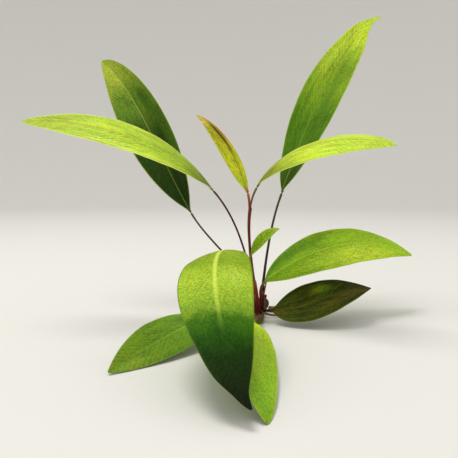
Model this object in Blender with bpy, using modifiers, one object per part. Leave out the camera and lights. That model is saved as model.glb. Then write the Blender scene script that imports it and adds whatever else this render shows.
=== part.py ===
"""Water plant with eleven lance-shaped leaves on a short creeping stem, lying on a flat floor.

Lengths here are millimetres until MM makes them metres, and angles are degrees. A heading turns
from +X towards +Y, and a rise is the angle above the floor. The floor is Z = 0, and the origin is
on it, under the crown.
"""

from collections import namedtuple
from math import cos, exp, pi, radians, sin, sqrt

import bmesh
import bpy
from mathutils import Matrix, Vector

MM = 0.001

# Blades: cells along and across, closer together at both ends and beside the midrib
BLADE_CELLS = (16, 6)
SMALL_BLADE_CELLS = (12, 4)
SMALL_WIDTH = 15
END_CROWDING = 0.09
MIDRIB_CROWDING = 1.9
LAMINA_THICK = 0.6
MARGIN_THICK = 0.4
RIB_TIP_THICK = 0.7
RIB_THINNING = 0.6
TIP_HALF_WIDTH = 0.35
END_DECAY = 8
WIDEST = 0.45
FULLNESS = 1.45
NECK = 0.01

# Stalks: each is thickest at its root
STALK_SEGMENTS = 12
STALK_FLARE = 0.25
FLARE_DECAY = 3
STALK_TAPER = 0.10
SHEATH_SWELL = 0.6
SHEATH_GROWTH = 2
JOINT_GAP = 0.35

TUBE_ROUNDNESS = 2

# Creeping stem: a rounded growing tip at the front and a cut end at the back
STEM_FRONT = -11.4
STEM_LENGTH = 45.4
STEM_SEGMENTS = 24
STEM_CROWDING = 1.3
STEM_ROUNDNESS = 6
STEM_TIP_RADIUS = 2.7
STEM_GAIN = 2.0
STEM_GAIN_LENGTH = 9.0
STEM_DOME = 4.0
STEM_DOME_START = 0.15
STEM_SUNK = 0.4
SCAR_BULGE = 0.18
SCAR_START = 18.0
STEM_BEND = 0.006
STEM_BEND_START = 5.0
UNDERSIDE_CUTTER = (60, 100, 10)
WELD = 0.01

# Roots: place along the stem, side of it, heading, turn along the length and length
Root = namedtuple("Root", "along side heading turn length")
ROOTS = (
    Root(along=24, side=-1, heading=170, turn=-40, length=58),
    Root(along=16, side=-1, heading=180, turn=25, length=40),
    Root(along=6, side=-1, heading=185, turn=15, length=42),
    Root(along=28, side=1, heading=20, turn=40, length=52),
    Root(along=19, side=1, heading=10, turn=-20, length=46),
    Root(along=11, side=1, heading=-5, turn=30, length=36),
    Root(along=30, side=-1, heading=150, turn=-65, length=50),
    Root(along=31, side=1, heading=40, turn=60, length=44),
)
ROOT_RADIUS = 0.8
ROOT_TIP_RADIUS = 0.4
ROOT_START_HEIGHT = 2.4
ROOT_SETTLE = 5.0
ROOT_SEGMENTS = 10
ROOT_WIGGLE = 14
ROOT_WAVES = 9
STEM_GAP = 0.3

# Colours, linear red, green and blue, and roughness
BRIGHT_GREEN = (0.36, 0.44, 0.06)
FRESH_GREEN = (0.20, 0.37, 0.03)
MID_GREEN = (0.11, 0.21, 0.03)
DEEP_GREEN = (0.07, 0.15, 0.02)
SHADE_GREEN = (0.02, 0.04, 0.01)
YOUNG_GOLD = (0.50, 0.44, 0.08)
STALK_RED = (0.13, 0.02, 0.02)
STEM_BROWN = (0.08, 0.06, 0.02)
ROOT_CREAM = (0.45, 0.38, 0.24)
BLADE_ROUGHNESS = 0.45
STALK_ROUGHNESS = 0.5
STEM_ROUGHNESS = 0.7

# turn: along the stalk, then along the blade
# stalk_rise: at the root, halfway and at the blade; rise: halfway along the blade and at its tip
# roll: at the blade's base and tip; fold: of its left half and right half
# neck: share of the blade's length over which its base is drawn in
Leaf = namedtuple(
    "Leaf",
    "name colour root stalk_length heading turn stalk_rise length width rise roll fold"
    " stalk_radius late_bend sheath_top widest fullness camber neck",
    defaults=(0.95, 1, 0, WIDEST, FULLNESS, 0, NECK),
)
LEAVES = (
    Leaf(
        name="back_left", colour=DEEP_GREEN, root=(-2, 8.5, 9.2), stalk_length=79,
        heading=144, turn=(8, -24), stalk_rise=(72, 42, 56),
        length=155, width=38, rise=(54, 24), roll=(-60, -70), fold=(15, 25),
        stalk_radius=0.7, fullness=1.65, neck=0.03,
    ),
    Leaf(
        name="left", colour=BRIGHT_GREEN, root=(0.4, 3, 8.6), stalk_length=83,
        heading=156, turn=(45, -34), stalk_rise=(75, 72, 46),
        length=132, width=31, rise=(18, -1), roll=(-25, -40), fold=(-5, 0),
        stalk_radius=0.7, fullness=1.6,
    ),
    Leaf(
        name="young", colour=YOUNG_GOLD, root=(0.4, -0.8, 8.6), stalk_length=75,
        heading=170, turn=(0, -30), stalk_rise=(80, 91, 74), late_bend=3,
        length=66, width=14, rise=(55, 23), roll=(-85, -100), fold=(5, 45),
        stalk_radius=0.85, fullness=1.55, neck=0.02,
    ),
    Leaf(
        name="right", colour=BRIGHT_GREEN, root=(0.4, -4, 8.1), stalk_length=80,
        heading=0, turn=(-9, -44), stalk_rise=(99, 83, 59), late_bend=3, sheath_top=0.83,
        length=100, width=32, rise=(11, -15), roll=(25, 25), fold=(-10, -20),
        stalk_radius=0.7, fullness=1.7, neck=0.08,
    ),
    Leaf(
        name="back_right", colour=MID_GREEN, root=(2.4, 6.4, 9), stalk_length=77,
        heading=62, turn=(-27, -13), stalk_rise=(77, 75, 64),
        length=153, width=36, rise=(60, 36), roll=(0, 60), fold=(-5, 5),
        stalk_radius=0.8, widest=0.4, fullness=1.55, neck=0.02,
    ),
    Leaf(
        name="newest", colour=FRESH_GREEN, root=(1.2, -8.4, 7), stalk_length=38,
        heading=145, turn=(212, 43), stalk_rise=(71, 109, 53), late_bend=4,
        length=27, width=10, rise=(45, -4), roll=(30, 40), fold=(5, 15),
        stalk_radius=0.65, widest=0.35, fullness=1.5,
    ),
    Leaf(
        name="mid_right", colour=FRESH_GREEN, root=(2.6, 0.8, 8.2), stalk_length=17,
        heading=5, turn=(0, 22), stalk_rise=(85, 95, 40),
        length=117, width=36, rise=(8, -27), roll=(15, 15), fold=(15, -25), neck=0.02,
    ),
    Leaf(
        name="low_right", colour=SHADE_GREEN, root=(4, -3.4, 7.2), stalk_length=6,
        heading=-70, turn=(55, 50), stalk_rise=(25, 9, -1),
        length=71, width=34, rise=(19, -15), roll=(40, 0), fold=(10, 0),
        stalk_radius=0.9, fullness=1.55,
    ),
    Leaf(
        name="arched", colour=FRESH_GREEN, root=(-1.8, -9, 6.6), stalk_length=66,
        heading=-124, turn=(20, 37), stalk_rise=(69, 45, 14),
        length=135, width=36, rise=(-24, -32), roll=(15, -5), fold=(-5, 5),
        stalk_radius=1.0, widest=0.4, fullness=1.3, camber=0.2,
    ),
    Leaf(
        name="low_front", colour=FRESH_GREEN, root=(1.6, -12.4, 4.2), stalk_length=31,
        heading=-102, turn=(1, 22), stalk_rise=(28, 6, 0),
        length=127, width=32, rise=(0, -23), roll=(-15, -30), fold=(0, 10), fullness=1.25,
    ),
    Leaf(
        name="low_left", colour=MID_GREEN, root=(-4.6, -4, 5.6), stalk_length=27,
        heading=-145, turn=(25, -3), stalk_rise=(28, 6, 5),
        length=102, width=30, rise=(-6, -11), roll=(-5, -40), fold=(5, 0), fullness=1.65, neck=0.07,
    ),
)


def between(pair, t):
    return pair[0] + (pair[1] - pair[0]) * t


def through(start, middle, end, t):
    """Value at t of the parabola through start at 0, middle at a half and end at 1."""
    return start * (1 - t) * (1 - 2 * t) + 4 * middle * t * (1 - t) + end * t * (2 * t - 1)


def direction(heading, rise):
    flat = cos(radians(rise))
    return Vector((flat * cos(radians(heading)), flat * sin(radians(heading)), sin(radians(rise))))


def walk(length, aim, stations, substeps=8):
    """Points, from the local origin, of a line whose heading and rise at t are aim(t)."""
    point = Vector()
    points = [point.copy()]
    for low, high in zip(stations, stations[1:]):
        step = (high - low) / substeps
        for n in range(substeps):
            point += direction(*aim(low + (n + 0.5) * step)) * (length * step)
        points.append(point.copy())
    return points


def own_material(name, colour, roughness):
    material = bpy.data.materials.new(name)
    material.use_nodes = True
    shader = material.node_tree.nodes["Principled BSDF"]
    shader.inputs["Base Color"].default_value = (*colour, 1)
    shader.inputs["Roughness"].default_value = roughness
    shader.inputs["Metallic"].default_value = 0
    return material


def place(name, data, parent, location, heading):
    """Object in the plant's collection, at a place in millimetres on its parent."""
    piece = bpy.data.objects.new(name, data)
    plant.objects.link(piece)
    piece.parent = parent
    piece.location = Vector(location) * MM
    piece.rotation_euler = (0, 0, radians(heading))
    return piece


def tube_data(name, points, radii, bevel_resolution=TUBE_ROUNDNESS):
    """Round tube with closed ends along points, in millimetres."""
    curve = bpy.data.curves.new(name, "CURVE")
    curve.dimensions = "3D"
    curve.bevel_depth = MM
    curve.bevel_resolution = bevel_resolution
    curve.use_fill_caps = True
    line = curve.splines.new("POLY")
    line.points.add(len(points) - 1)
    for spot, point, radius in zip(line.points, points, radii):
        spot.co = (*(point * MM), 1)
        spot.radius = radius
    return curve


def stalk_radius(leaf, t):
    radius = leaf.stalk_radius * (1 + STALK_FLARE * (1 - t) ** FLARE_DECAY - STALK_TAPER * t)
    if t < leaf.sheath_top:
        radius += SHEATH_SWELL * (t / leaf.sheath_top) ** SHEATH_GROWTH
    return radius


def add_stalk(leaf):
    """Stalk from the creeping stem to just short of its blade. Returns it and the blade's place."""
    stations = [n / STALK_SEGMENTS for n in range(STALK_SEGMENTS + 1)]

    def aim(t):
        return leaf.turn[0] * t, through(*leaf.stalk_rise, t**leaf.late_bend)

    points = walk(leaf.stalk_length, aim, stations)
    top = points[-1].copy()
    points[-1] -= (points[-1] - points[-2]).normalized() * JOINT_GAP
    name = "stalk_" + leaf.name
    curve = tube_data(name, points, [stalk_radius(leaf, t) for t in stations])
    curve.materials.append(own_material(name, STALK_RED, STALK_ROUGHNESS))
    return place(name, curve, crown, leaf.root, leaf.heading), top


def half_width(leaf, t):
    """Half the blade's width at t, with a drawn-in, stalk-wide base and a narrow tip."""
    grow = (t / leaf.widest) ** (leaf.widest * leaf.fullness) * (1 + leaf.neck) * t / (t + leaf.neck)
    shrink = ((1 - t) / (1 - leaf.widest)) ** ((1 - leaf.widest) * leaf.fullness)
    ends = leaf.stalk_radius * (1 - t) ** END_DECAY + TIP_HALF_WIDTH * t**END_DECAY
    return leaf.width / 2 * grow * shrink + ends


def add_blade(leaf, stalk, top):
    """Blade that goes on from the stalk: a grid bent to shape and given its thickness."""
    along, across = SMALL_BLADE_CELLS if leaf.width < SMALL_WIDTH else BLADE_CELLS
    evenly = [n / along for n in range(along + 1)]
    stations = [t - END_CROWDING * sin(2 * pi * t) for t in evenly]

    def aim(t):
        return leaf.turn[1] * t, through(leaf.stalk_rise[2], *leaf.rise, t)

    rib = walk(leaf.length, aim, stations)
    most = 2 * leaf.stalk_radius
    grid = bmesh.new()
    bmesh.ops.create_grid(grid, x_segments=along, y_segments=across, size=1)
    thickness = grid.verts.layers.deform.verify()
    for vertex in grid.verts:
        row = round((vertex.co.x + 1) / 2 * along)
        t = stations[row]
        s = vertex.co.y * abs(vertex.co.y) ** (MIDRIB_CROWDING - 1)
        heading, rise = aim(t)
        left = direction(heading + 90, 0)
        face = direction(heading, rise).cross(left)
        roll = radians(between(leaf.roll, t))
        side = left * cos(roll) + face * sin(roll)
        up = face * cos(roll) - left * sin(roll)
        fold = radians(leaf.fold[0] if s > 0 else leaf.fold[1])
        out = side * (s * cos(fold)) + up * (abs(s) * sin(fold) - leaf.camber * s * s)
        rib_thick = between((most, RIB_TIP_THICK), t**RIB_THINNING)
        vertex.co = (rib[row] + out * half_width(leaf, t) + up * (rib_thick / 2)) * MM
        if abs(s) < 1 / across**2:
            thick = rib_thick
        else:
            thick = MARGIN_THICK if abs(s) > 1 - 1 / across**2 else LAMINA_THICK
        vertex[thickness][0] = thick / most
    name = "blade_" + leaf.name
    mesh = bpy.data.meshes.new(name)
    grid.to_mesh(mesh)
    grid.free()
    mesh.shade_smooth()
    mesh.materials.append(own_material(name, leaf.colour, BLADE_ROUGHNESS))
    blade = place(name, mesh, stalk, top, leaf.turn[0])
    shell = blade.modifiers.new("thickness", "SOLIDIFY")
    shell.thickness = most * MM
    shell.offset = -1
    shell.vertex_group = blade.vertex_groups.new(name="thickness").name


def stem_radius(along):
    """Radius of the creeping stem before its growing tip is rounded and its scars are added."""
    return STEM_TIP_RADIUS + STEM_GAIN * (1 - exp((STEM_FRONT - along) / STEM_GAIN_LENGTH))


def stem_side(along):
    """Sideways place of the creeping stem's middle, which bends away behind the crown."""
    return STEM_BEND * max(0, along - STEM_BEND_START) ** 2


def add_creeping_stem():
    """Tube with a rounded tip and old leaf scars, cut flat where it lies on the floor."""
    points = []
    radii = []
    for n in range(STEM_SEGMENTS + 1):
        distance = STEM_LENGTH * (n / STEM_SEGMENTS) ** STEM_CROWDING
        along = STEM_FRONT + distance
        radius = stem_radius(along)
        points.append(Vector((stem_side(along), along, radius - STEM_SUNK)))
        inwards = 1 - min((distance + STEM_DOME_START) / STEM_DOME, 1)
        scar = SCAR_BULGE * (-1) ** n if distance > SCAR_START else 0
        radii.append(radius * sqrt(1 - inwards**2) + scar)
    tube = tube_data("stem_curve", points, radii, STEM_ROUNDNESS)
    curve = place("stem_curve", tube, crown, (0, 0, 0), 0)
    bpy.context.view_layer.update()
    evaluated = curve.evaluated_get(bpy.context.evaluated_depsgraph_get())
    mesh = bpy.data.meshes.new_from_object(evaluated)
    mesh.name = "rhizome"
    skin = bmesh.new()
    skin.from_mesh(mesh)
    bmesh.ops.remove_doubles(skin, verts=skin.verts, dist=WELD * MM)
    bmesh.ops.recalc_face_normals(skin, faces=skin.faces)
    skin.to_mesh(mesh)
    skin.free()
    mesh.shade_smooth()
    mesh.materials.append(own_material("rhizome", STEM_BROWN, STEM_ROUGHNESS))
    stem = place("rhizome", mesh, crown, (0, 0, 0), 0)
    stem.matrix_world = curve.matrix_world
    bpy.data.objects.remove(curve)
    cut = stem.modifiers.new("flat_underside", "BOOLEAN")
    cut.operation = "DIFFERENCE"
    cut.object = add_underside_cutter()


def add_underside_cutter():
    """Box whose top is the floor."""
    box = bmesh.new()
    bmesh.ops.create_cube(box, size=MM)
    size = Matrix.Diagonal((*UNDERSIDE_CUTTER, 1))
    bmesh.ops.transform(box, matrix=size, verts=box.verts)
    mesh = bpy.data.meshes.new("underside_cutter")
    box.to_mesh(mesh)
    box.free()
    cutter = bpy.data.objects.new("underside_cutter", mesh)
    cutters.objects.link(cutter)
    cutter.location = (0, 0, -UNDERSIDE_CUTTER[2] / 2 * MM)
    cutter.hide_render = True
    cutter.display_type = "WIRE"
    return cutter


def add_root(name, root):
    """Root that leaves the side of the stem, comes down and then runs along the floor."""
    stations = [n / ROOT_SEGMENTS for n in range(ROOT_SEGMENTS + 1)]

    def aim(t):
        return root.turn * t + ROOT_WIGGLE * sin(ROOT_WAVES * t + root.along), 0

    points = walk(root.length, aim, stations)
    radii = [between((ROOT_RADIUS, ROOT_TIP_RADIUS), t) for t in stations]
    for t, point, radius in zip(stations, points, radii):
        drop = (ROOT_START_HEIGHT - ROOT_RADIUS) * exp(-t * root.length / ROOT_SETTLE)
        point.z = radius + drop
    curve = tube_data(name, points, radii)
    curve.materials.append(own_material(name, ROOT_CREAM, STEM_ROUGHNESS))
    offset = stem_radius(root.along) + SCAR_BULGE + STEM_GAP
    x = stem_side(root.along) + root.side * offset
    place(name, curve, crown, (x, root.along, 0), root.heading)


for old in list(bpy.data.objects):
    bpy.data.objects.remove(old)
plant = bpy.data.collections.new("anubias")
cutters = bpy.data.collections.new("cutters")
bpy.context.scene.collection.children.link(plant)
bpy.context.scene.collection.children.link(cutters)
crown = bpy.data.objects.new("crown", None)
plant.objects.link(crown)

add_creeping_stem()
for number, root in enumerate(ROOTS, 1):
    add_root(f"root_{number}", root)
for leaf in LEAVES:
    add_blade(leaf, *add_stalk(leaf))
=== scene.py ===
"""Looks of the water plant: fine blades, stalks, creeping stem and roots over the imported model.

Lengths in the tables are millimetres and angles are degrees, as in the part's source, and MM makes
them metres.
"""

from collections import namedtuple

import bmesh
import bpy
import numpy as np
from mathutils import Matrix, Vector


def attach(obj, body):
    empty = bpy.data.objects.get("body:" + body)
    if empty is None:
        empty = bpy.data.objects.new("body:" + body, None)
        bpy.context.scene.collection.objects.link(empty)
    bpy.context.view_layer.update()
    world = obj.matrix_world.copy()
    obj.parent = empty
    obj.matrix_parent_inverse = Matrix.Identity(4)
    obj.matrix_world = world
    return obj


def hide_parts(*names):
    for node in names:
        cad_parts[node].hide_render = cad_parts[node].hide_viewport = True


MM = 0.001
UP = np.array((0, 0, 1.0))
BODY = "root"

# Camera: eye, downward pitch and lens for the photograph's square frame. CLIP_START is in metres.
EYE = (-18.6, -384.0, 91.0)
PITCH = 4.67
LENS = 47.2
SENSOR_WIDTH = 36
CLIP_START = 0.01

# Floor, wall and sky around the plant, in metres
FLOOR_LEVEL = -0.0002
FLOOR_RADIUS = 1.6
FLOOR_BEND = 1.0
WALL_TOP = 1.5
FLOOR_STEPS = 96
FLOOR_BEND_STEPS = 16
FLOOR_COLOUR = (0.74, 0.73, 0.71)
SKY_COLOUR = (1.0, 0.99, 0.96, 1)
SKY_STRENGTH = 0.75

# Fineness of the meshes, in cells along and around, and of the centre lines, in steps. Points nearer
# to each other than WELD, in metres, are joined.
BLADE_CELLS = (150, 76)
TUBE_CELLS = (60, 20)
STEM_CELLS = (220, 72)
SCALE_CELLS = (30, 36)
STUB_CELLS = (30, 24)
ROOTLET_CELLS = (14, 6)
LINE_STEPS = 400
WELD = 0.00001

# Blades: how the mesh crowds to the ends and to the midrib, the usual outline as in the part, and the
# thickness of blade and midrib, a little less than in the part
END_CROWDING = 0.09
RIB_CROWDING = 1.7
WIDEST = 0.45
FULLNESS = 1.45
NECK = 0.01
TIP_HALF_WIDTH = 0.35
END_DECAY = 8
LAMINA_THICK = 0.42
MARGIN_THICK = 0.28
RIB_TIP_THICK = 0.5
RIB_THINNING = 0.6

# Fine form of the blades: drawn-out and bent tips, joint with the stalk, midrib, side veins and
# margin. A blade of WAVY_WIDTH has waves of the full size, and a narrower one has smaller waves.
TIP_DRAWN_AT = 0.955
TIP_DRAWN_LENGTH = 0.05
TIP_BEND_AT = 0.9
TIP_BEND_LENGTH = 0.08
TIP_BEND_DECAY = 40
JOINT_OVERLAP = 0.8
JOINT_LENGTH = 2.5
RIB_HALF_WIDTH = 0.9
RIB_TIP_NARROWING = 0.45
GROOVE_DEPTH = 0.22
VEIN_SLANT = 1.5
VEIN_BEND = 0.05
VEIN_SPACING = 4.6
VEIN_RELIEF = 0.02
RELIEF_FADE = 0.7
MARGIN_ROUNDING = 8
WAVY_WIDTH = 34
WAVE_HEIGHT = 0.14
WAVE_LENGTH = 31.0
RIPPLE_SHARE = 0.5
RIPPLE_RATE = 0.47
SIDE_PHASE = 2.1

# Stalks: wide clasping base, taper, swelling below the blade, channel on the face and old sheath
STALK_BASE_GAIN = 0.25
STALK_CLASP = 0.25
STALK_TAPER = 0.10
SWELLING = 0.14
SWELLING_AT = 0.965
SWELLING_LENGTH = 0.035
CHANNEL_DEPTH = 0.16
CHANNEL_WIDTH = 0.6
CHANNEL_FADE = 0.3
SHEATH_SWELL = 0.55
SHEATH_OPENING = 0.3

# One leaf. turn: along the stalk, then along the blade. stalk_rise: at the root, halfway and at the
# blade. rise: halfway along the blade and at its tip. roll: at the blade's base and tip. fold: of its
# left half and right half. tip_bend and tip_drawn: how far the blade's end bends aside, and the share
# of its width that it loses.
Leaf = namedtuple(
    "Leaf",
    "root stalk_length heading turn stalk_rise length width rise roll fold"
    " stalk_radius late_bend sheath_top widest fullness camber neck tip_bend tip_drawn",
    defaults=(0.95, 1, 0, WIDEST, FULLNESS, 0, NECK, 0, 0),
)
LEAVES = {
    "back_left": Leaf(
        root=(-2, 8.5, 9.2), stalk_length=79, heading=144, turn=(8, -24), stalk_rise=(72, 42, 56),
        length=155, width=38, rise=(54, 24), roll=(-60, -70), fold=(15, 25), stalk_radius=0.7,
        fullness=1.65, neck=0.03,
    ),
    "left": Leaf(
        root=(0.4, 3, 8.6), stalk_length=83, heading=156, turn=(45, -34), stalk_rise=(75, 72, 46),
        length=132, width=31, rise=(18, -1), roll=(-25, -40), fold=(-5, 0), stalk_radius=0.7,
        fullness=1.6,
    ),
    "young": Leaf(
        root=(0.4, -0.8, 8.6), stalk_length=75, heading=170, turn=(0, -30), stalk_rise=(80, 91, 74),
        late_bend=3, length=66, width=14, rise=(55, 23), roll=(-85, -100), fold=(5, 45),
        stalk_radius=0.85, fullness=1.55, neck=0.02,
    ),
    "right": Leaf(
        root=(0.4, -4, 8.1), stalk_length=80, heading=0, turn=(-9, -44), stalk_rise=(99, 83, 59),
        late_bend=3, sheath_top=0.83, length=100, width=32, rise=(11, -15), roll=(25, 25),
        fold=(-10, -20), stalk_radius=0.7, fullness=1.7, neck=0.08,
    ),
    "back_right": Leaf(
        root=(2.4, 6.4, 9), stalk_length=77, heading=62, turn=(-27, -13), stalk_rise=(77, 75, 64),
        length=153, width=36, rise=(60, 36), roll=(0, 60), fold=(-5, 5), stalk_radius=0.8, widest=0.4,
        fullness=1.55, neck=0.02, tip_bend=2.2, tip_drawn=0.33,
    ),
    "newest": Leaf(
        root=(1.2, -8.4, 7), stalk_length=38, heading=145, turn=(212, 43), stalk_rise=(71, 109, 53),
        late_bend=4, length=27, width=10, rise=(45, -4), roll=(30, 40), fold=(5, 15), stalk_radius=0.65,
        widest=0.35, fullness=1.5,
    ),
    "mid_right": Leaf(
        root=(2.6, 0.8, 8.2), stalk_length=17, heading=5, turn=(0, 22), stalk_rise=(85, 95, 40),
        length=117, width=36, rise=(8, -27), roll=(15, 15), fold=(15, -25), neck=0.02,
    ),
    "low_right": Leaf(
        root=(4, -3.4, 7.2), stalk_length=6, heading=-70, turn=(55, 50), stalk_rise=(25, 9, -1),
        length=71, width=34, rise=(19, -15), roll=(40, 0), fold=(10, 0), stalk_radius=0.9,
        fullness=1.55,
    ),
    "arched": Leaf(
        root=(-1.8, -9, 6.6), stalk_length=66, heading=-124, turn=(20, 37), stalk_rise=(69, 45, 14),
        length=135, width=36, rise=(-24, -32), roll=(15, -5), fold=(-5, 5), stalk_radius=1.0,
        widest=0.4, fullness=1.3, camber=0.2, tip_bend=-1.0, tip_drawn=0.25,
    ),
    "low_front": Leaf(
        root=(1.6, -12.4, 4.2), stalk_length=31, heading=-102, turn=(1, 22), stalk_rise=(28, 6, 0),
        length=127, width=32, rise=(0, -23), roll=(-15, -30), fold=(0, 10), fullness=1.25,
    ),
    "low_left": Leaf(
        root=(-4.6, -4, 5.6), stalk_length=27, heading=-145, turn=(25, -3), stalk_rise=(28, 6, 5),
        length=102, width=30, rise=(-6, -11), roll=(-5, -40), fold=(5, 0), fullness=1.65, neck=0.07,
    ),
}


def srgb(red, green, blue):
    """Linear colour of a screen colour given in steps of 255."""
    steps = np.array((red, green, blue)) / 255
    linear = np.where(steps < 0.04045, steps / 12.92, ((steps + 0.055) / 1.055) ** 2.4)
    return tuple(float(v) for v in linear)


# Soft-edged patch of another tint on a blade, or of painted shade where noted. t and s: its middle, t from 0
# at the blade's base to 1 at its tip and s from -1 at its right margin to 1 at its left one. length and
# width: how far it
# reaches each way. share: its strength.
Patch = namedtuple("Patch", "colour t s length width share", defaults=(0.9,))
# How each blade is coloured. colours: from its base to its tip. rib: the midrib's colours at the
# blade's base and past its middle. edge: the margin's colour. stalk: the stalk's colours at its root,
# halfway, near its top and at its top. rib_end: where the midrib's and the margin's colours fade out.
# rib_width: the midrib's half width. matte: 0 for a glossy blade, 1 for a dull one. places: where along
# the blade its colours lie. mottle: how far its tint wanders between brown and green. veins: how much
# lighter its side veins are than the blade. streaks, specks and grain: how strong they are.
Look = namedtuple(
    "Look",
    "slot colours rib edge stalk patches rib_end rib_width streaks specks matte places mottle veins grain",
    defaults=((), 0.95, 0.6, 0.25, 0.55, 0.5, (0, 0.33, 0.67, 1), 0.55, -0.18, 1.0),
)
RED_STALK = (srgb(58, 14, 12), srgb(78, 28, 20), srgb(84, 40, 26), srgb(104, 84, 40))
GREEN_STALK = (srgb(80, 20, 14), srgb(96, 40, 22), srgb(104, 78, 30), srgb(112, 122, 38))
DARK_STALK = (srgb(60, 14, 12), srgb(70, 26, 16), srgb(62, 40, 20), srgb(56, 52, 18))
OLIVE_STALK = (srgb(52, 22, 15), srgb(60, 44, 28), srgb(72, 64, 38), srgb(74, 76, 36))
GOLD_STALK = (srgb(80, 14, 12), srgb(104, 26, 18), srgb(112, 50, 28), srgb(116, 98, 44))
ORANGE_STALK = (srgb(80, 14, 12), srgb(104, 26, 18), srgb(142, 60, 32), srgb(176, 104, 48))
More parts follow.
